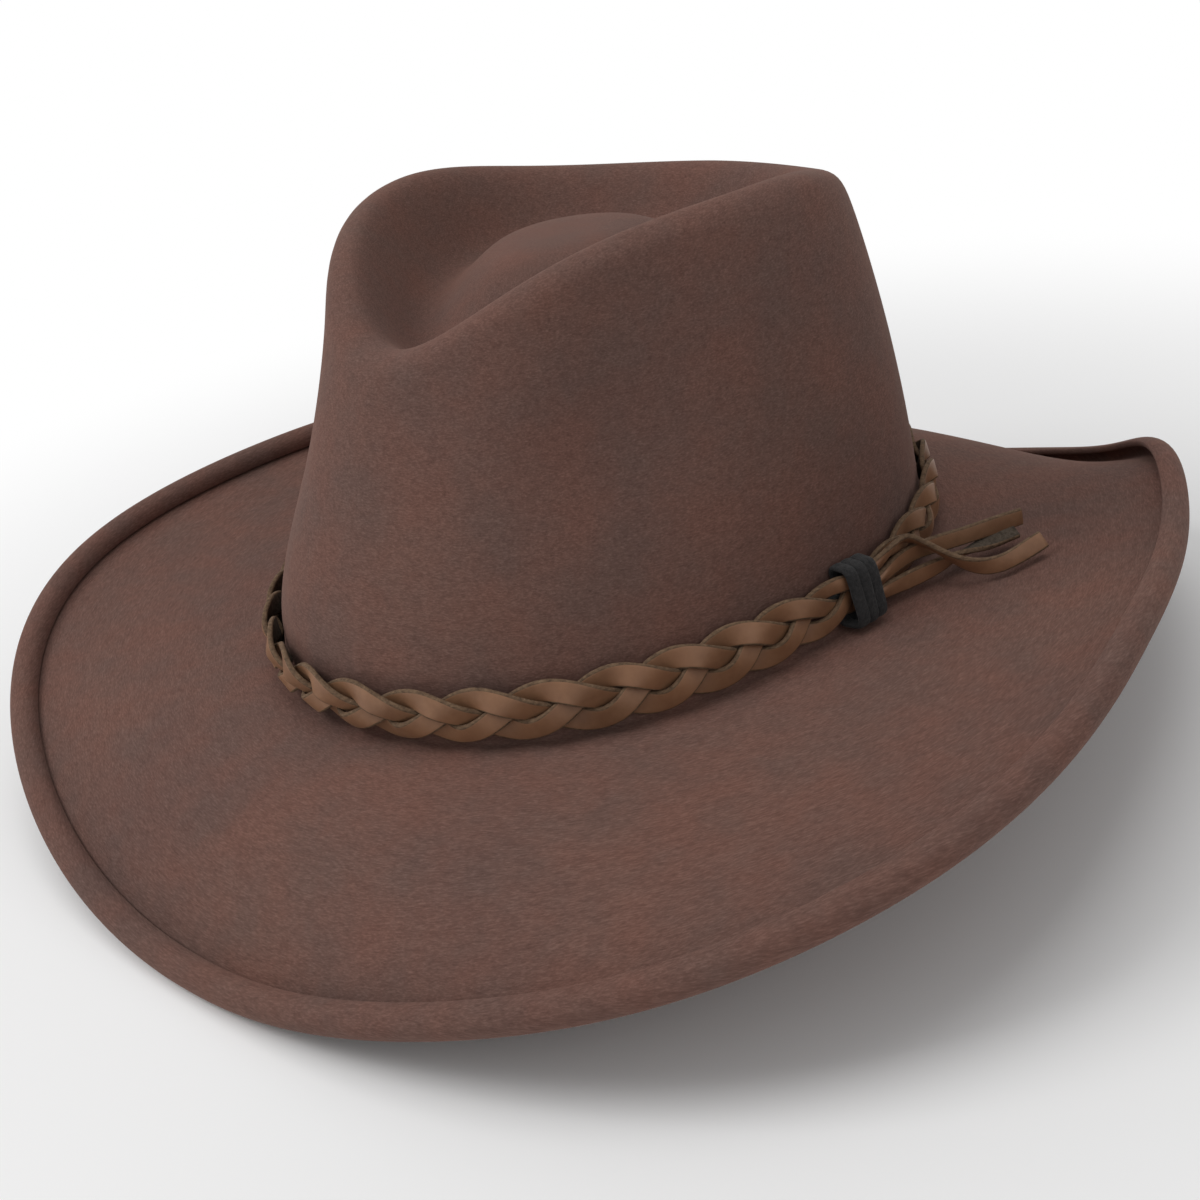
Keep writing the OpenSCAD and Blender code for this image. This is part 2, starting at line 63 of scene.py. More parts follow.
FRONT_FLARE, FLARE_RISE = 7.5, 3
PINCH_DEPTH, PINCH_AT, PINCH_SPREAD = 12.5, -0.58, 0.33
PINCH_TOP, PINCH_TALL = 0.64, 0.3
BRIM_HALF_W, BRIM_HALF_L = 173, 172.5
BRIM_EGG, BRIM_SQUARE = 0.14, 2.23
BRIM_SIDE_H, BRIM_FRONT_H, BRIM_BACK_H = 9, -38.3, -38
BRIM_CORNER_H, BRIM_BEND = 6, 2.6
# The brim's edge is a roll: the radius of the felt's upper face in it, its shift outward
# and the number of its rings
ROLL_R, ROLL_OUT, ROLL_RINGS = 2.3, 1.8, 12
# The roll turns on to ROLL_CLOSED, but about the angle ROLL_OPEN_AT only to ROLL_OPEN
ROLL_CLOSED, ROLL_OPEN, ROLL_OPEN_AT, ROLL_OPEN_REACH = 203, 112, -2, 72
# Where the soft brim strays from its even curve: angle, spread, rise and reach outward
BRIM_STRAYS = ((-67, 18, 4, 0), (-42, 15, 1.5, 0), (3, 22, 0.5, -2.2), (36, 12, 9, 2),
               (-145, 20, 3, 1.5))
LACE_T = 1.6
BRAID_DEPTH, BRAID_TILT, BRAID_PITCH = 1.7, 10, 52
WRAP_SWING, WRAP_LACE_W, WRAP_REACH = 4.2, 4.2, 22
BAND_GAP = 0.8
WRAP_T, WRAP_DEPTH = 1.2, 0.85
LACE_GAP, CORNER_ROOM = 0.2, 0.5
SWEAT_H, SWEAT_T, SWEAT_FOOT_H, SWEAT_GAP = 36, 1.1, 1.2, 0.6

# Distances off the crown wall: the wrap's inside and outside, and the laces' middles
WRAP_IN = BAND_GAP + WRAP_T
BRAID_MID = WRAP_IN + LACE_GAP + WRAP_DEPTH + LACE_T / 2
TAIL_MID = BRAID_MID + WRAP_DEPTH + LACE_T + LACE_GAP
WRAP_OUT = TAIL_MID + LACE_T / 2 + LACE_GAP
FREE_MID = BAND_GAP + BRAID_DEPTH + LACE_T / 2
WRAP_HALF_H = 1.5 * WRAP_LACE_W + 2 * LACE_GAP + CORNER_ROOM
BAND_MID_H = 10.2
# The felt stands on its lowest point, and the sweatband's foot gives the brim's level,
# from which the heights here are measured
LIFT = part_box("sweatband")[0][2] / MM - SWEAT_FOOT_H


# ---- camera --------------------------------------------------------------------------
CAM_AZIMUTH, CAM_ELEVATION, CAM_ROLL = 45.1, 27.2, -10.5
# Distance in millimetres, and pixels to a millimetre at the point aimed at
CAM_DISTANCE, CAM_SCALE = 458.5, 3.28
AIM_RIGHT, AIM_UP, AIM_H = 5.4, -52.7, 45
PHOTO_PX = 1200
SENSOR = 36
NEAR_CLIP = 0.01


def make_camera():
    """The photograph's view: a near camera, turned round, raised and rolled."""
    az, el = math.radians(CAM_AZIMUTH), math.radians(CAM_ELEVATION)
    back = Vector((math.sin(az) * math.cos(el), -math.cos(az) * math.cos(el), math.sin(el)))
    right = Vector((math.cos(az), math.sin(az), 0))
    up = back.cross(right)
    turn = math.radians(CAM_ROLL)
    side = right * math.cos(turn) + up * math.sin(turn)
    top = up * math.cos(turn) - right * math.sin(turn)
    aim = Vector((0, 0, AIM_H + LIFT)) + side * AIM_RIGHT + top * AIM_UP
    place = aim + back * CAM_DISTANCE
    data = bpy.data.cameras.new("camera")
    data.sensor_width = SENSOR
    data.lens = CAM_SCALE * CAM_DISTANCE / PHOTO_PX * SENSOR
    data.clip_start = NEAR_CLIP
    cam = bpy.data.objects.new("camera", data)
    cam.matrix_world = Matrix((
        (side.x, top.x, back.x, place.x * MM),
        (side.y, top.y, back.y, place.y * MM),
        (side.z, top.z, back.z, place.z * MM),
        (0, 0, 0, 1)))
    bpy.context.collection.objects.link(cam)
    bpy.context.scene.camera = cam


# ---- the felt's surface --------------------------------------------------------------
def oval(t, half_w, front, back, egg, power):
    """Points of an egg-shaped superellipse, for angles t in radians from the left."""
    c, s = np.cos(t), np.sin(t)
    r = (np.abs(c) ** power + np.abs(s) ** power) ** (-1 / power)
    return np.stack([half_w * c * r * (1 + egg * s * r),
                     (back - front) / 2 + (back + front) / 2 * s * r], -1)


def saddle(t, side, front, back):
    """Height that goes from front to side to back round the hat."""
    w = np.cos(t) ** 2
    return side * w + (1 - w) * ((front + back) / 2 + (back - front) / 2 * np.sin(t))


def unit(v):
    """Vectors of length one along those in v."""
    return v / np.linalg.norm(v, axis=-1, keepdims=True)


def join(xy, z):
    """Points in space from points in plan and their heights."""
    return np.concatenate([xy, np.broadcast_to(z, xy.shape[:-1])[..., None]], -1)


def base_xy(t):
    """Outline of the crown where it meets the brim."""
    return oval(t, BASE_HALF_W, BASE_FRONT, BASE_BACK, BASE_EGG, BASE_SQUARE)


RISE, REACH = 2, 3


def turn_away(t, place):
    """Degrees from a place to the angles t, the short way round."""
    return (np.degrees(t) - place + 180) % 360 - 180


def stray(t, which):
    """Sum of the brim's strays at angles t, of their rise or their reach."""
    total = 0
    for each in BRIM_STRAYS:
        place, spread = each[:2]
        total = total + each[which] * np.exp(-(turn_away(t, place) / spread) ** 2)
    return total


def crease_xy(t):
    """Outline of the brim where its roll begins."""
    even = oval(t, BRIM_HALF_W, BRIM_HALF_L, BRIM_HALF_L, -BRIM_EGG, BRIM_SQUARE)
    return even + unit(even) * stray(t, REACH)[..., None]


def crease_h(t):
    """Height of the brim where its roll begins."""
    return (saddle(t, BRIM_SIDE_H, BRIM_FRONT_H, BRIM_BACK_H)
            + BRIM_CORNER_H * (1 - np.cos(4 * t)) / 2 + stray(t, RISE))


def brim_out(t):
    """Directions outward across the brim."""
    return unit(crease_xy(t) - base_xy(t))


def roll_ring(t, share):
    """Ring at a share round the rolled edge, which curls up and in from the brim."""
    opened = np.exp(-(turn_away(t, ROLL_OPEN_AT) / ROLL_OPEN_REACH) ** 4)
    end = ROLL_CLOSED + (ROLL_OPEN - ROLL_CLOSED) * opened
    turn = np.radians((end + 90) * share - 90)
    width = np.linalg.norm(crease_xy(t) - base_xy(t), axis=-1)
    slope = np.arctan(BRIM_BEND * crease_h(t) / width)
    shift = ROLL_OUT * np.cos(slope) ** 5
    run = shift * np.cos(slope) + ROLL_R * (np.cos(slope + turn) - np.sin(slope))
    rise = shift * np.sin(slope) + ROLL_R * (np.sin(slope + turn) + np.cos(slope))
    return join(crease_xy(t) + brim_out(t) * run[:, None], crease_h(t) + rise)


def brim_ring(t, f):
    """Ring of the brim at share f of the way from the crown to the roll."""
    return join(base_xy(t) + (crease_xy(t) - base_xy(t)) * f, crease_h(t) * f ** BRIM_BEND)


def ridge_height(t):
    """Height of the ridge, with a dip of its own width at the front and the back."""
    s = np.sin(t)
    dip = (RIDGE_FRONT_DIP + RIDGE_BACK_DIP) / 2 - (RIDGE_FRONT_DIP - RIDGE_BACK_DIP) / 2 * s
    w = np.abs(s) ** (2 * dip)
    ends = (RIDGE_FRONT_H + RIDGE_BACK_H) / 2 + (RIDGE_BACK_H - RIDGE_FRONT_H) / 2 * s
    return RIDGE_SIDE_H + (ends - RIDGE_SIDE_H) * w


def ridge_ring(t, out, up):
    """The ridge round the top of the crown, moved out and up."""
    xy = oval(t, RIDGE_HALF_W + out, RIDGE_FRONT + out, RIDGE_BACK + out,
              RIDGE_EGG, RIDGE_SQUARE)
    return join(xy, ridge_height(t) + up)


# Makes the front flare's curve f * (1 - f) ** FLARE_RISE peak at one
FLARE_SCALE = (FLARE_RISE + 1) ** (FLARE_RISE + 1) / FLARE_RISE ** FLARE_RISE


def wall_ring(t, f, part=1):
    """Ring of the crown wall at share f of its height, with part of its swell."""
    top = ridge_ring(t, SHOULDER_OUT, -SHOULDER_DROP)
    xy = base_xy(t) + (top[..., :2] - base_xy(t)) * np.asarray(f)[..., None]
    flare = FRONT_FLARE * np.minimum(0, np.sin(t)) ** 2 * FLARE_SCALE * f * (1 - f) ** FLARE_RISE
    swell = WALL_SWELL * 4 * f * (1 - f) + flare
    xy = xy + brim_out(t) * np.asarray(swell * part)[..., None]
    pinch = (PINCH_DEPTH * np.exp(-((np.sin(t) - PINCH_AT) / PINCH_SPREAD) ** 2)
             * np.exp(-((f - PINCH_TOP) / PINCH_TALL) ** 2))
    xy[..., 0] -= pinch * np.cos(t)
    return join(xy, top[..., 2] * f)


def valley_ring(t, inset, share, up):
    """Ring inside the ridge, a share of the way down to the valley."""
    ring = ridge_ring(t, -inset, 0)
    low = saddle(t, VALLEY_SIDE_H, VALLEY_FRONT_H, VALLEY_BACK_H)
    ring[..., 2] += (low - ring[..., 2]) * share + up
    return ring


# How far inside the ridge the valley's floor ends and the dome starts
DOME_INSET = 34
CROWN_MIDDLE = np.array([0, (RIDGE_BACK - RIDGE_FRONT) / 2, DOME_H])


def dome_ring(t, f, share):
    """Ring of the dome at share f of its width and a share of its rise."""
    ring = valley_ring(t, DOME_INSET, 1, 0)
    ring[..., :2] = CROWN_MIDDLE[:2] + (ring[..., :2] - CROWN_MIDDLE[:2]) * f
    ring[..., 2] += (DOME_H - ring[..., 2]) * share
    return ring


# Shares of the way across the brim and up the wall
BRIM_RINGS = (0.985, 0.95, 0.85, 0.7, 0.5, 0.27, 0.12, 0.045)
WALL_RINGS = (0.035, 0.11, 0.22, 0.4, 0.6, 0.8, 1.0)
# Where the brim breaks into the wall, out from the wall and above the brim's level
BREAK_OUT, BREAK_UP = 1, 0.4
# Place of the ring half way over the shoulder, in shares of its reach and its drop
SHOULDER_MID = (0.75, 0.25)
# Inset from the ridge, share of the way down and lift of each ring of the valley
VALLEY_RINGS = ((5, 0.15, 0), (11, 0.6, 0), (19, 1, -1))
# Shares of the dome's width and rise at each of its rings
DOME_RINGS = ((1, 0.55), (0.7, 0.93), (0.35, 1))
FELT_STEPS = 320
RING_PARTS = 5


def bspline_rows(rings, parts):
    """Rows of a smooth surface through control rings, several to each span."""
    first, last = 2 * rings[:1] - rings[1:2], 2 * rings[-1:] - rings[-2:-1]
    k = len(rings)
    padded = np.concatenate([first, rings, last])
    u = np.arange(parts) / parts
    weights = np.stack([(1 - u) ** 3, 3 * u ** 3 - 6 * u ** 2 + 4,
                        -3 * u ** 3 + 3 * u ** 2 + 3 * u + 1, u ** 3], -1) / 6
    spans = np.stack([padded[i:i + k - 1] for i in range(4)])
    rows = np.einsum("sj,jknc->ksnc", weights, spans)
    return rows.reshape((k - 1) * parts, *rings.shape[1:])


def felt_rows():
    """The hat's outer face as rows of points, from the brim's edge to the crown's middle."""
    t = np.arange(FELT_STEPS) * TAU / FELT_STEPS
    rings = [roll_ring(t, share) for share in np.linspace(1, 0, ROLL_RINGS)]
    rings += [brim_ring(t, f) for f in BRIM_RINGS]
    rings += [join(base_xy(t) + brim_out(t) * BREAK_OUT, BREAK_UP)]
    rings += [wall_ring(t, f) for f in WALL_RINGS]
    rings += [ridge_ring(t, SHOULDER_OUT * SHOULDER_MID[0], -SHOULDER_DROP * SHOULDER_MID[1])]
    rings += [ridge_ring(t, 0, 0)]
    rings += [valley_ring(t, *v) for v in VALLEY_RINGS]
    rings += [dome_ring(t, *d) for d in DOME_RINGS]
    rings += [np.broadcast_to(CROWN_MIDDLE, (FELT_STEPS, 3))]
    return bspline_rows(np.stack(rings), RING_PARTS)


def grid_normals(rows):
    """Outward normals of rows of points that close round the hat."""
    along = np.roll(rows, -1, 1) - np.roll(rows, 1, 1)
    across = np.gradient(rows, axis=0)
    return unit(np.cross(along, across))


# ---- mesh helpers --------------------------------------------------------------------
def new_mesh(name, points, faces, materials, body, replaced):
    """A piece from points in millimetres about the brim's level, in place of CAD nodes."""
    mesh = bpy.data.meshes.new(name)
    points = (np.asarray(points) + (0, 0, LIFT)) * MM
    mesh.from_pydata(points.tolist(), [], [list(f) for f in faces])
    mesh.validate()
    mesh.shade_smooth()
    for material in materials:
        mesh.materials.append(material)
    piece = bpy.data.objects.new(name, mesh)
    bpy.context.collection.objects.link(piece)
    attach(piece, body)
    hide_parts(*replaced)
    return piece


def quads(rows, columns, closed=False):
    """Quads of a grid of points, numbered along rows that close on themselves."""
    k = np.arange(rows if closed else rows - 1)
    i = np.arange(columns)
    k, i = np.meshgrid(k, i, indexing="ij")
    k2, i2 = (k + 1) % rows, (i + 1) % columns
    corners = (k * columns + i, k * columns + i2, k2 * columns + i2, k2 * columns + i)
    return np.stack(corners, -1).reshape(-1, 4).tolist()


def sweep(stations, closed=False):
    """Points and faces of a solid through rings of points, capped unless closed."""
    count, m = len(stations), len(stations[0])
    points = np.asarray(stations).reshape(-1, 3)
    faces = quads(count, m, closed)
    if not closed:
        faces.append(list(range(m))[::-1])
        faces.append([(count - 1) * m + i for i in range(m)])
    return points, faces


# ---- node materials ------------------------------------------------------------------
def srgb(r, g, b):
    """A colour given in the 0 to 255 of a screen, as the linear colour a shader takes."""
    def linear(v):
        v = v / 255
        return v / 12.92 if v <= 0.04045 else ((v + 0.055) / 1.055) ** 2.4
    return (linear(r), linear(g), linear(b), 1)


class Nodes:
    """A material's node tree, with short calls for the nodes used here."""

    def __init__(self, name, roughness, specular=0.3):
        self.material = bpy.data.materials.new(name)
        self.material.use_nodes = True
        self.tree = self.material.node_tree
        self.shader = self.tree.nodes["Principled BSDF"]
        self.shader.inputs["Roughness"].default_value = roughness
        self.shader.inputs["Specular IOR Level"].default_value = specular
        self.coords = self.tree.nodes.new("ShaderNodeTexCoord")

    def link(self, a, b):
        self.tree.links.new(a, b)

    def scaled(self, x, y, z):
        """Object coordinates, in metres, times a scale along each axis."""
        node = self.tree.nodes.new("ShaderNodeMapping")
        node.inputs["Scale"].default_value = (x, y, z)
        self.link(self.coords.outputs["Object"], node.inputs["Vector"])
        return node.outputs["Vector"]

    def noise(self, vector, detail, roughness):
        node = self.tree.nodes.new("ShaderNodeTexNoise")
        node.inputs["Scale"].default_value = 1
        node.inputs["Detail"].default_value = detail
        node.inputs["Roughness"].default_value = roughness
        self.link(vector, node.inputs["Vector"])
        return node.outputs["Fac"]

    def cells(self, vector, scale):
        node = self.tree.nodes.new("ShaderNodeTexVoronoi")
        node.inputs["Scale"].default_value = scale
        self.link(vector, node.inputs["Vector"])
        return node.outputs["Distance"]

    def ramp(self, value, stops):
        """A colour for each value, between stops of (place, colour)."""
        node = self.tree.nodes.new("ShaderNodeValToRGB")
        ramp = node.color_ramp
        while len(ramp.elements) < len(stops):
            ramp.elements.new(0.5)
        for element, (place, color) in zip(ramp.elements, stops):
            element.position = place
            element.color = color
        self.link(value, node.inputs["Fac"])
        return node.outputs["Color"]

    def blend(self, a, b, factor, mode="MIX"):
        """Two colours blended by a fixed factor."""
        node = self.tree.nodes.new("ShaderNodeMix")
        node.data_type = "RGBA"
        node.blend_type = mode
        node.inputs[0].default_value = factor
        self.link(a, node.inputs[6])
        self.link(b, node.inputs[7])
        return node.outputs[2]

    def math(self, a, b, operation):
        """A sum, product or such of two sockets or numbers."""
        node = self.tree.nodes.new("ShaderNodeMath")
        node.operation = operation
        for value, socket in ((a, node.inputs[0]), (b, node.inputs[1])):
            if isinstance(value, (float, int)):
                socket.default_value = value
            else:
                self.link(value, socket)
        return node.outputs["Value"]

    def color(self, value):
        self.link(value, self.shader.inputs["Base Color"])

    def bump(self, height, strength, distance):
        node = self.tree.nodes.new("ShaderNodeBump")
        node.inputs["Strength"].default_value = strength
        node.inputs["Distance"].default_value = distance
        self.link(height, node.inputs["Height"])
        self.link(node.outputs["Normal"], self.shader.inputs["Normal"])


# Felt: metres of noise to a radian round the hat, and the noise scales of the fibres
# and the nap along and across their lie
LIE_RADIUS = 0.12
FIBRE_SCALE = (650, 2400)
NAP_SCALE = (260, 620)


def felt_material():
    """Brushed fur felt: fine short fibres lying round the hat, with soft mottling."""
    n = Nodes("felt", 0.95, 0.12)
    place = n.tree.nodes.new("ShaderNodeSeparateXYZ")
    n.link(n.coords.outputs["Object"], place.inputs[0])
    x, y, z = place.outputs
    turn = n.math(x, y, "ARCTAN2")
    square = n.math(n.math(x, x, "MULTIPLY"), n.math(y, y, "MULTIPLY"), "ADD")
    out = n.math(square, 0.5, "POWER")
    lie = n.tree.nodes.new("ShaderNodeCombineXYZ")
    n.link(n.math(turn, LIE_RADIUS, "MULTIPLY"), lie.inputs[0])
    n.link(out, lie.inputs[1])
    n.link(z, lie.inputs[2])

    def streaks(along, across):
        scale = n.tree.nodes.new("ShaderNodeMapping")
        scale.inputs["Scale"].default_value = (along, across, across)
        n.link(lie.outputs[0], scale.inputs["Vector"])
        return n.noise(scale.outputs["Vector"], 3.0, 0.65)

    fibres = streaks(*FIBRE_SCALE)
    nap = streaks(*NAP_SCALE)
    cloud = n.noise(n.scaled(45, 45, 45), 3.0, 0.6)
    wide = n.noise(n.scaled(12, 12, 12), 2.0, 0.5)
    fine = n.ramp(fibres, ((0.25, srgb(76, 56, 50)), (0.5, srgb(104, 78, 70)),
                           (0.75, srgb(134, 106, 96))))
    soft = n.ramp(nap, ((0.3, srgb(92, 68, 61)), (0.7, srgb(114, 87, 78))))
    base = n.blend(fine, soft, 0.5)
    mottle = n.ramp(cloud, ((0.35, (0.93, 0.99, 1.02, 1)), (0.65, (1.08, 1.0, 0.98, 1))))
    shade = n.ramp(wide, ((0.3, (0.93, 0.94, 0.96, 1)), (0.7, (1.06, 1.04, 1.02, 1))))
    base = n.blend(base, mottle, 1.0, "MULTIPLY")
    n.color(n.blend(base, shade, 1.0, "MULTIPLY"))
    n.shader.inputs["Sheen Weight"].default_value = 0.18
    n.shader.inputs["Sheen Roughness"].default_value = 0.4
    n.shader.inputs["Sheen Tint"].default_value = srgb(196, 164, 150)
    n.bump(n.math(fibres, nap, "ADD"), 0.3, 0.0003)
    return n.material


def lace_material():
    """Grain side of an oiled tan-brown leather lace."""
    n = Nodes("lace_leather", 0.48, 0.35)
    grain = n.noise(n.scaled(1500, 1500, 1500), 3.0, 0.6)
    pull = n.noise(n.scaled(220, 220, 220), 3.0, 0.6)
    tone = n.noise(n.scaled(40, 40, 40), 2.0, 0.5)
    base = n.ramp(pull, ((0.3, srgb(120, 84, 60)), (0.52, srgb(134, 97, 70)),
                         (0.75, srgb(148, 110, 82))))
    shade = n.ramp(tone, ((0.35, srgb(112, 80, 58)), (0.65, srgb(146, 106, 78))))
    n.color(n.blend(base, shade, 0.5))
    n.bump(n.math(grain, n.math(pull, 0.6, "MULTIPLY"), "ADD"), 0.18, 0.0002)
    return n.material


def cut_edge_material():
    """Raw cut edge of a lace, paler and fibrous."""
    n = Nodes("lace_cut_edge", 0.85, 0.2)
    fray = n.noise(n.scaled(700, 700, 1600), 4.0, 0.7)
    n.color(n.ramp(fray, ((0.3, srgb(70, 54, 42)), (0.6, srgb(112, 90, 70)),
                          (0.8, srgb(140, 118, 96)))))
    n.bump(fray, 0.5, 0.0004)
    return n.material


def flesh_material():
    """Flesh side of a lace: grey-brown suede."""
    n = Nodes("lace_flesh", 0.95, 0.1)
    nap = n.noise(n.scaled(800, 800, 800), 4.0, 0.7)
    n.color(n.ramp(nap, ((0.3, srgb(58, 51, 44)), (0.7, srgb(96, 86, 76)))))
    n.bump(nap, 0.5, 0.0004)
    return n.material


def wrap_material():
    """Charcoal leather of the wrapping lace."""
    n = Nodes("wrap_leather", 0.9, 0.2)
    grain = n.noise(n.scaled(900, 900, 900), 4.0, 0.7)
    n.color(n.ramp(grain, ((0.3, srgb(24, 24, 25)), (0.7, srgb(52, 51, 51)))))
    n.shader.inputs["Sheen Weight"].default_value = 0.1
    n.bump(grain, 0.8, 0.0006)
    return n.material


def sweat_material():
    """Thin brown roan leather with a fine pebble."""
    n = Nodes("sweatband_leather", 0.42, 0.45)
    pebble = n.cells(n.scaled(1, 1, 1), 900)
    tone = n.noise(n.scaled(25, 25, 60), 3.0, 0.5)
    n.color(n.ramp(tone, ((0.3, srgb(88, 56, 36)), (0.7, srgb(112, 76, 50)))))
    n.bump(pebble, 0.25, 0.0003)
    return n.material


def ribbon_material():
    """Dark ribbed ribbon of the reed's tape and the bow."""
    n = Nodes("ribbon", 0.7, 0.3)
    ribs = n.tree.nodes.new("ShaderNodeTexWave")
    ribs.bands_direction = "Z"
    ribs.inputs["Scale"].default_value = 700
    n.link(n.coords.outputs["Object"], ribs.inputs["Vector"])
    n.color(n.ramp(ribs.outputs["Fac"], ((0.2, srgb(34, 31, 30)), (0.8, srgb(48, 44, 42)))))
    n.bump(ribs.outputs["Fac"], 0.3, 0.0002)
    return n.material


def thread_material():
    """Twisted sewing thread."""
    n = Nodes("thread", 0.8, 0.2)
    twist = n.noise(n.scaled(2500, 2500, 2500), 2.0, 0.5)
    n.color(n.ramp(twist, ((0.3, srgb(126, 104, 78)), (0.7, srgb(168, 146, 116)))))
    n.bump(twist, 0.4, 0.0002)
    return n.material


def reed_material():
    """Plain pale plastic of the reed."""
    n = Nodes("reed_plastic", 0.45, 0.4)
    tone = n.noise(n.scaled(60, 60, 60), 2.0, 0.5)
    n.color(n.ramp(tone, ((0.3, srgb(206, 200, 184)), (0.7, srgb(220, 215, 202)))))
    return n.material


# ---- the felt ------------------------------------------------------------------------
# The cut edge's rounding, as a share of half the felt's thickness
TIP_STEPS, TIP_ROUND = 5, 0.55


def make_felt(material):
    """One felt shell, crown and brim together, with a softly rounded cut edge."""
    outer = felt_rows()
    normals = grid_normals(outer)
    inner = outer - normals * FELT_T
    middle = (outer[0] + inner[0]) / 2
    tip_dir = unit(outer[0] - outer[1])
    arc = [math.pi * (j + 1) / (TIP_STEPS + 1) for j in range(TIP_STEPS)]
    tip = [middle + (inner[0] - middle) * -math.cos(a)
           + tip_dir * FELT_T / 2 * TIP_ROUND * math.sin(a) for a in arc]
    # From the inside of the crown, down round the brim's edge and up the outside
    profile = np.concatenate([inner[::-1], np.stack(tip)[::-1], outer])
    count, n = profile.shape[:2]
    points = profile.reshape(-1, 3)
    faces = quads(count, n)
    top = len(points)
    points = np.concatenate([points, [CROWN_MIDDLE - (0, 0, FELT_T), CROWN_MIDDLE]])
    last = (count - 1) * n
    for i in range(n):
        j = (i + 1) % n
        faces.append([top, j, i])
        faces.append([last + i, last + j, top + 1])
    new_mesh("felt_hat_body", points, faces, [material], "hat", ["felt_body"])


# ---- places round the crown ----------------------------------------------------------
def base_along(t):
    """Directions along the crown's outline at the brim."""
    step = math.radians(0.5)
    return unit(base_xy(t + step) - base_xy(t - step))


def base_normal(t):
    """Directions square out from the crown's outline at the brim."""
    d = base_along(t)
    return np.stack([d[..., 1], -d[..., 0]], -1)


def beside_wall(t, h, off, part=1):
    """Points at height h, held off the outer face of the crown wall."""
    wall = wall_ring(t, h / (ridge_height(t) - SHOULDER_DROP), part)
    return join(wall[..., :2] + base_normal(t) * np.asarray(off)[..., None], h)


OVAL_STEPS = 1440


def oval_table(off):
    """Lengths round the crown at a distance off it, and the angles they belong to."""
    t = np.linspace(0, TAU, OVAL_STEPS + 1)
    p = base_xy(t) + base_normal(t) * off
    steps = np.linalg.norm(np.diff(p, axis=0), axis=1)
    return np.concatenate([[0], np.cumsum(steps)]), t


# ---- laces ---------------------------------------------------------------------------
# Faces of a lace's section: the outer grain side, the two cut edges and the flesh side
GRAIN, CUT, FLESH = 0, 1, 2
# One side of the section: place across in half widths, step in from the edge in
# thicknesses, and place out in half thicknesses
FACE_POINTS = ((-1, 0.3, 0.97), (-1, 0.6, 1), (-0.55, 0, 1.05), (0, 0, 1.08), (0.55, 0, 1.05),
               (1, -0.6, 1), (1, -0.3, 0.97))
EDGE_POINTS = ((1, -0.1, 0.8), (1, 0, 0.45), (1, 0.02, 0), (1, 0, -0.45), (1, -0.1, -0.8))


def lace_section(widths, t):
    """Section points (across, out) of a flat lace at each width, and each side's material."""
    rim = FACE_POINTS + EDGE_POINTS
    rim = rim + tuple((-x, -step, -y) for x, step, y in rim)
    x, step, y = np.array(rim).T
    across = widths[:, None] / 2 * x + step * t
    out = np.broadcast_to(y * t / 2, across.shape)
    flat, edge = len(FACE_POINTS) - 1, len(EDGE_POINTS) + 1
    return across, out, [GRAIN] * flat + [CUT] * edge + [FLESH] * flat + [CUT] * edge


def make_lace(name, mid, across, out, widths, thick, materials, body, replaced):
    """A lace swept along mid, with its width and thickness directions at each point."""
    x, y, kinds = lace_section(widths, thick)
    stations = mid[:, None] + across[:, None] * x[..., None] + out[:, None] * y[..., None]
    points, faces = sweep(stations)
    piece = new_mesh(name, points, faces, materials, body, replaced)
    m = len(kinds)
    sides = m * (len(mid) - 1)
    for polygon in piece.data.polygons:
        # The faces after the sides close the lace's ends
        polygon.material_index = kinds[polygon.index % m] if polygon.index < sides else CUT


def wander(s, seed, amount, length):
    """A smooth small wander along a length, the same each run."""
    rng = np.random.default_rng(seed)
    total = np.zeros_like(s)
    for k in range(4):
        wave = length / (0.6 + 0.7 * k)
        total += np.sin(TAU * (s / wave + rng.random())) * amount / (1 + 0.5 * k)
    return total


STRAND_STEP, STRAND_W, STRAND_SWING = 0.8, 6.3, 4.9
# Seed, amount and wave length of the small unevenness of each strand, whose number is
# added to the seed where the strands differ
WEAVE_WANDER, OFF_WANDER = (10, 0.08, 130), (60, 0.15, 150)
HEIGHT_WANDER, TILT_WANDER, WIDTH_WANDER = (20, 0.12, 120), (30, 0.04, 70), (40, 0.1, 100)


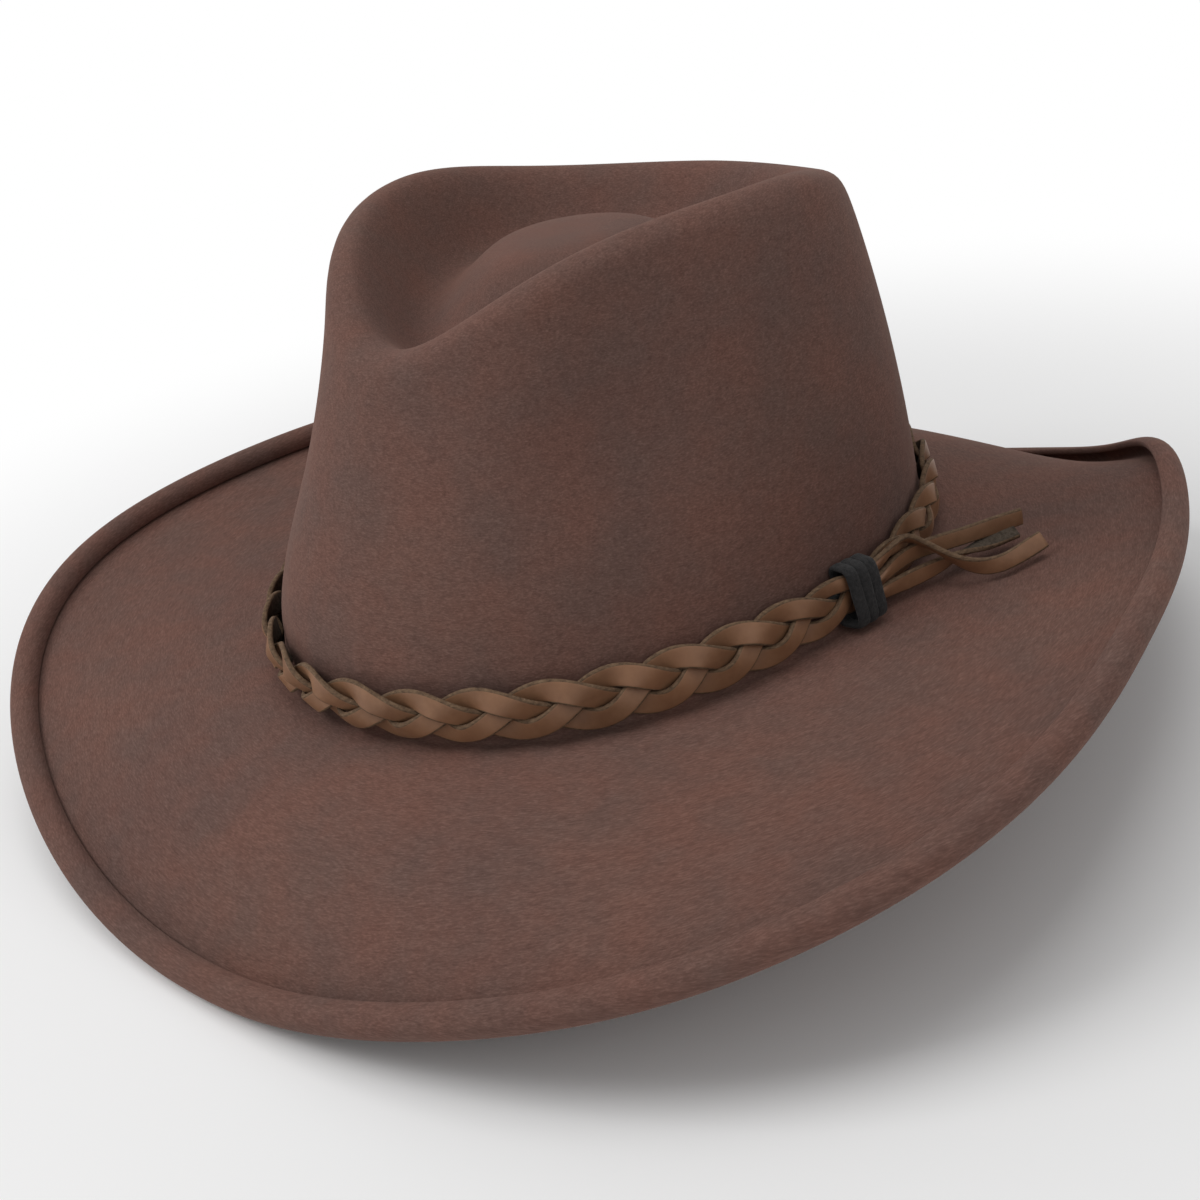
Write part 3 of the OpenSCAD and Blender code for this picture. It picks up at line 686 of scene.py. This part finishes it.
def make_strand(number, phase, materials):
    """One lace of the three-strand braid, from one end of the wrap to the other."""
    lengths, angles = oval_table(BRAID_MID)
    total = lengths[-1]
    s = np.arange(1, total - 1, STRAND_STEP)

    def own_wander(seed, amount, length):
        return wander(s, seed + number, amount, length)

    # 1 at the wrap, where the strands draw together, and 0 away from it
    gather = np.exp(-(np.minimum(s, total - s) / WRAP_REACH) ** 2)
    a = TAU * s / BRAID_PITCH + phase + wander(s, *WEAVE_WANDER)
    t = np.interp(s, lengths, angles)
    swing = STRAND_SWING + (WRAP_SWING - STRAND_SWING) * gather
    # How far the wall leans in by the height of the band's middle
    lean_in = BASE_HALF_W - beside_wall(np.zeros(1), np.full(1, BAND_MID_H), 0)[0, 0]
    depth = BRAID_DEPTH + (WRAP_DEPTH - BRAID_DEPTH) * gather
    off = (FREE_MID + (BRAID_MID + lean_in - FREE_MID) * gather - depth * np.sin(2 * a)
           + wander(s, *OFF_WANDER) ** 2)
    h = BAND_MID_H + swing * np.sin(a) + own_wander(*HEIGHT_WANDER)
    mid = beside_wall(t, h, off)
    lean = unit(beside_wall(t, h + 2, off) - beside_wall(t, h - 2, off))
    along = join(base_along(t), 0.0)
    normal = np.cross(along, lean)
    slope = np.arctan(swing * TAU / BRAID_PITCH * np.cos(a))[:, None]
    across = lean * np.cos(slope) - along * np.sin(slope)
    tilt = (own_wander(*TILT_WANDER) - math.radians(BRAID_TILT) * np.cos(3 * a))[:, None]
    widths = STRAND_W + (WRAP_LACE_W - STRAND_W) * gather + own_wander(*WIDTH_WANDER)
    make_lace(f"lace_strand_{number}", mid, across * np.cos(tilt) + normal * np.sin(tilt),
              normal * np.cos(tilt) - across * np.sin(tilt), widths, LACE_T,
              materials, "hatband", [f"braid_strand_{number}"])


WRAP_W, WRAP_PITCH, WRAP_TURNS = 4.0, 3.6, 3
# Squareness of the wrap's outline, fullness of its lace's section across and outward,
# and swell of the lace past its thickness
WRAP_ROUND = 5
WRAP_FLAT, WRAP_FULL = 0.7, 0.8
WRAP_SWELL = 0.1
WRAP_STEPS, WRAP_SECTION = 72, 16
# Distance back, turn in plan and lean with the crown's wall
WRAP_PLACE, WRAP_SWIVEL, WRAP_LEAN = -3.5, math.radians(10), 0.26


def wrap_outline(f, grow):
    """Point (out, up) of the wrap's rounded outline, at share f of a turn."""
    c, s = np.cos(TAU * f), np.sin(TAU * f)
    r = (np.abs(c) ** WRAP_ROUND + np.abs(s) ** WRAP_ROUND) ** (-1 / WRAP_ROUND)
    half_out = (WRAP_OUT - WRAP_IN) / 2
    return np.stack([(half_out + grow) * c * r, (WRAP_HALF_H + grow) * s * r], -1)


def squared(wave, power):
    """A cosine or sine made fuller by a power below one."""
    return np.sign(wave) * np.abs(wave) ** power


def make_wrap(material):
    """The dark lace wound tightly round the band's joint, swelling between its turns."""
    steps = int(WRAP_STEPS * WRAP_TURNS)
    turn = np.arange(steps + 1) / WRAP_STEPS
    f = 0.5 + turn
    y = WRAP_PITCH * (turn - WRAP_TURNS / 2)
    slack = np.stack([wander(y, 8, 0.12, 3), wander(y, 9, 0.12, 4)], -1)
    mid = wrap_outline(f, WRAP_T / 2) + slack
    along = unit(np.gradient(mid, axis=0))
    out = np.stack([along[:, 1], -along[:, 0]], -1)
    out *= np.sign((out * mid).sum(1))[:, None]
    g = TAU * np.arange(WRAP_SECTION) / WRAP_SECTION
    width = (WRAP_W + wander(y, 7, 0.2, 5))[:, None]
    across = width / 2 * squared(np.cos(g), WRAP_FLAT)
    swell = (WRAP_T / 2 + WRAP_SWELL) * squared(np.sin(g), WRAP_FULL)
    x = (mid[:, :1] + out[:, :1] * swell) + BASE_HALF_W + (WRAP_IN + WRAP_OUT) / 2
    z = mid[:, 1:] + out[:, 1:] * swell
    x = x - z * WRAP_LEAN
    back = y[:, None] + across
    turned_x = x + back * math.sin(WRAP_SWIVEL)
    turned_y = back * math.cos(WRAP_SWIVEL) + WRAP_PLACE
    points, faces = sweep(np.stack([turned_x, turned_y, z + BAND_MID_H], -1))
    new_mesh("wrap_lace", points, faces, [material], "hatband", ["band_wrap"])


# Routes of the tails: distance back, distance out, height from the band's middle, roll
TOP_ROUTE = ((-8, -1, 3.6, 0), (-3, -0.9, 4.2, 5), (3, -0.6, 5, 25), (8, -1.2, 5.6, 45),
             (12.5, -0.4, 5.6, 55), (15.5, 5, 2.2, 55), (17, 11, -1.4, 45), (19, 16.7, -4, 20),
             (23.5, 21.5, -5, -15), (31, 24, -4.7, -30), (40, 27, -3.4, -40))
UPPER_ROUTE = ((-8, 0, -0.4, 0), (-3, 0, -0.2, 0), (3, -0.3, 0.2, 0), (10, 0, 0.3, 0),
               (16.5, 1, -0.2, 0), (22.7, 3.9, -0.7, -5), (31.7, 8.5, -1.2, -8),
               (41.2, 13.4, -1.2, -5), (46.5, 17.3, -0.7, 0))
LOWER_ROUTE = ((-8, 0, -4.2, 0), (-4, 0, -4.3, 0), (0, 0.5, -4.9, 0), (5.7, 2.3, -5, 0),
               (12.4, 4.6, -5, 0), (19.9, 6.8, -5, 10), (27.4, 9, -5, 60),
               (34, 11.9, -5, 100), (38.6, 14.2, -4.5, 115), (43.4, 16.8, -4, 120))
# Distance back of the tails' hinge, the zero of their routes
TAIL_HINGE = 8.675
TAIL_W, TAIL_PARTS = 5.2, 12
# Where a tail starts to widen from the wrap, and over what length
SPREAD_START, SPREAD_REACH = -4, 10


def make_tail(name, route, materials, body, node, seed):
    """A loose end of a lace, from inside the wrap to its cut tip."""
    route = np.array(route, float)
    rows = bspline_rows(route[:, None], TAIL_PARTS)[:, 0]
    path = np.concatenate([rows, route[-1:]])
    roll = np.radians(path[:, 3:])
    mid = np.stack([BASE_HALF_W + TAIL_MID + path[:, 1], TAIL_HINGE + path[:, 0],
                    BAND_MID_H + path[:, 2]], -1)
    d = unit(np.gradient(mid, axis=0))
    side = unit(np.cross(d, np.array([0, 0, 1.0])))
    up = np.cross(side, d)
    s = np.concatenate([[0], np.cumsum(np.linalg.norm(np.diff(mid, axis=0), axis=1))])
    spread = np.clip((path[:, 0] - SPREAD_START) / SPREAD_REACH, 0, 1)
    widths = WRAP_LACE_W + (TAIL_W - WRAP_LACE_W) * spread + wander(s, seed, 0.12, 40)
    make_lace(name, mid, up * np.cos(roll) + side * np.sin(roll),
              side * np.cos(roll) - up * np.sin(roll), widths, LACE_T,
              materials, body, [node])


# ---- sweatband and trim --------------------------------------------------------------
SWEAT_OUT = FELT_T + SWEAT_GAP
SWEAT_IN = SWEAT_OUT + SWEAT_T
SWEAT_STEPS, SWEAT_ROWS = 240, 10
# Rise of the band's softened top edge
SWEAT_TIP = 0.3
# Part of the wall's swell that the band follows
SWEAT_FOLLOW = 0.8

def inside_points(t, h, depth):
    """Points inside the crown wall at height h, a depth in from the felt's outer face."""
    return beside_wall(t, h, -depth, SWEAT_FOLLOW)


def make_sweatband(material):
    """A thin leather band standing inside the crown, with a soft top edge."""
    t = np.arange(SWEAT_STEPS) * TAU / SWEAT_STEPS
    heights = np.linspace(SWEAT_FOOT_H, SWEAT_FOOT_H + SWEAT_H, SWEAT_ROWS)
    rows = [inside_points(t, h, SWEAT_IN) for h in heights]
    rows.append(inside_points(t, heights[-1] + SWEAT_TIP, (SWEAT_IN + SWEAT_OUT) / 2))
    rows += [inside_points(t, h, SWEAT_OUT) for h in heights[::-1]]
    points, faces = sweep(np.stack(rows), closed=True)
    new_mesh("sweatband_leather", points, faces, [material], "hat", ["sweatband"])


def assign(node, material):
    """A CAD node that stays gets its finish from this material."""
    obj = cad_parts[node]
    obj.data.materials.clear()
    obj.data.materials.append(material)


# ---- stage ---------------------------------------------------------------------------
# Metres, but for the shares of white
FLOOR_SIZE = 12
FLOOR_WHITE = 0.92
FADE_START, FADE_END = 0.2, 0.5
WORLD_LIGHT = 0.42
# Name, place, size and watts of each lamp, and the height they are aimed at
LAMPS = (("key", (-0.75, -0.85, 1.35), 0.8, 11),
         ("fill", (1.5, -0.4, 0.9), 1.0, 2),
         ("top", (0.0, 0.0, 1.7), 0.9, 6))
LAMP_AIM_H = 0.08


def seen_directly(tree):
    """1 for rays from the camera, off a mirror or through glass, and 0 for the rest."""
    path = tree.nodes.new("ShaderNodeLightPath")
    result = path.outputs["Is Camera Ray"]
    for other in ("Is Glossy Ray", "Is Transmission Ray"):
        both = tree.nodes.new("ShaderNodeMath")
        both.operation = "MAXIMUM"
        tree.links.new(result, both.inputs[0])
        tree.links.new(path.outputs[other], both.inputs[1])
        result = both.outputs[0]
    return result


def make_surround():
    """A surround that looks white and gives a softer light."""
    world = bpy.data.worlds.new("surround")
    world.use_nodes = True
    bpy.context.scene.world = world
    tree = world.node_tree
    light = tree.nodes["Background"]
    light.inputs["Color"].default_value = (1, 1, 1, 1)
    light.inputs["Strength"].default_value = WORLD_LIGHT
    white = tree.nodes.new("ShaderNodeBackground")
    white.inputs["Strength"].default_value = 1
    white.inputs["Color"].default_value = (1, 1, 1, 1)
    mix = tree.nodes.new("ShaderNodeMixShader")
    tree.links.new(seen_directly(tree), mix.inputs[0])
    tree.links.new(light.outputs[0], mix.inputs[1])
    tree.links.new(white.outputs[0], mix.inputs[2])
    tree.links.new(mix.outputs[0], tree.nodes["World Output"].inputs["Surface"])


def floor_material():
    """Plain pale floor that keeps its shadow near the hat and turns white farther out."""
    n = Nodes("floor", 0.9, 0.1)
    n.shader.inputs["Base Color"].default_value = (FLOOR_WHITE, FLOOR_WHITE, FLOOR_WHITE, 1)
    far = n.tree.nodes.new("ShaderNodeVectorMath")
    far.operation = "LENGTH"
    n.link(n.coords.outputs["Object"], far.inputs[0])
    fade = n.tree.nodes.new("ShaderNodeMapRange")
    fade.interpolation_type = "SMOOTHSTEP"
    fade.inputs["From Min"].default_value = FADE_START
    fade.inputs["From Max"].default_value = FADE_END
    n.link(far.outputs["Value"], fade.inputs["Value"])
    white = n.tree.nodes.new("ShaderNodeEmission")
    white.inputs["Color"].default_value = (1, 1, 1, 1)
    white.inputs["Strength"].default_value = 1
    mix = n.tree.nodes.new("ShaderNodeMixShader")
    n.link(n.math(fade.outputs["Result"], seen_directly(n.tree), "MULTIPLY"), mix.inputs[0])
    n.link(n.shader.outputs[0], mix.inputs[1])
    n.link(white.outputs[0], mix.inputs[2])
    # Seen from below the floor gives way, so the hat's underside can be looked at
    sides = n.tree.nodes.new("ShaderNodeNewGeometry")
    clear = n.tree.nodes.new("ShaderNodeBsdfTransparent")
    one_sided = n.tree.nodes.new("ShaderNodeMixShader")
    n.link(sides.outputs["Backfacing"], one_sided.inputs[0])
    n.link(mix.outputs[0], one_sided.inputs[1])
    n.link(clear.outputs[0], one_sided.inputs[2])
    n.link(one_sided.outputs[0], n.tree.nodes["Material Output"].inputs["Surface"])
    return n.material


def make_floor():
    """A wide flat floor at height 0."""
    mesh = bpy.data.meshes.new("floor")
    h = FLOOR_SIZE / 2
    mesh.from_pydata([(-h, -h, 0), (h, -h, 0), (h, h, 0), (-h, h, 0)], [], [(0, 1, 2, 3)])
    mesh.materials.append(floor_material())
    floor = bpy.data.objects.new("floor", mesh)
    bpy.context.collection.objects.link(floor)


def add_lamp(name, place, size, power):
    """A square area lamp at place, aimed at the crown."""
    data = bpy.data.lights.new(name, "AREA")
    data.size = size
    data.energy = power
    lamp = bpy.data.objects.new(name, data)
    lamp.location = place
    aim = Vector((0, 0, LAMP_AIM_H)) - Vector(place)
    lamp.rotation_euler = aim.to_track_quat("-Z", "Y").to_euler()
    bpy.context.collection.objects.link(lamp)


def main():
    """The stage, then the hat's pieces."""
    bpy.context.scene.view_settings.view_transform = "Standard"
    make_camera()
    make_surround()
    make_floor()
    for lamp in LAMPS:
        add_lamp(*lamp)

    make_felt(felt_material())
    laces = [lace_material(), cut_edge_material(), flesh_material()]
    for number, phase in ((1, 0), (2, TAU / 3), (3, 2 * TAU / 3)):
        make_strand(number, phase, laces)
    make_wrap(wrap_material())
    make_tail("tail_top", TOP_ROUTE, laces, "top_tail_end", "top_tail", 51)
    make_tail("tail_upper", UPPER_ROUTE, laces, "upper_tail_end", "upper_tail", 52)
    make_tail("tail_lower", LOWER_ROUTE, laces, "lower_tail_end", "lower_tail", 53)
    make_sweatband(sweat_material())
    ribbon = ribbon_material()
    assign("sweatband_bow", ribbon)
    assign("reed_tape", ribbon)
    assign("sweatband_reed", reed_material())
    assign("sweatband_stitching", thread_material())


main()
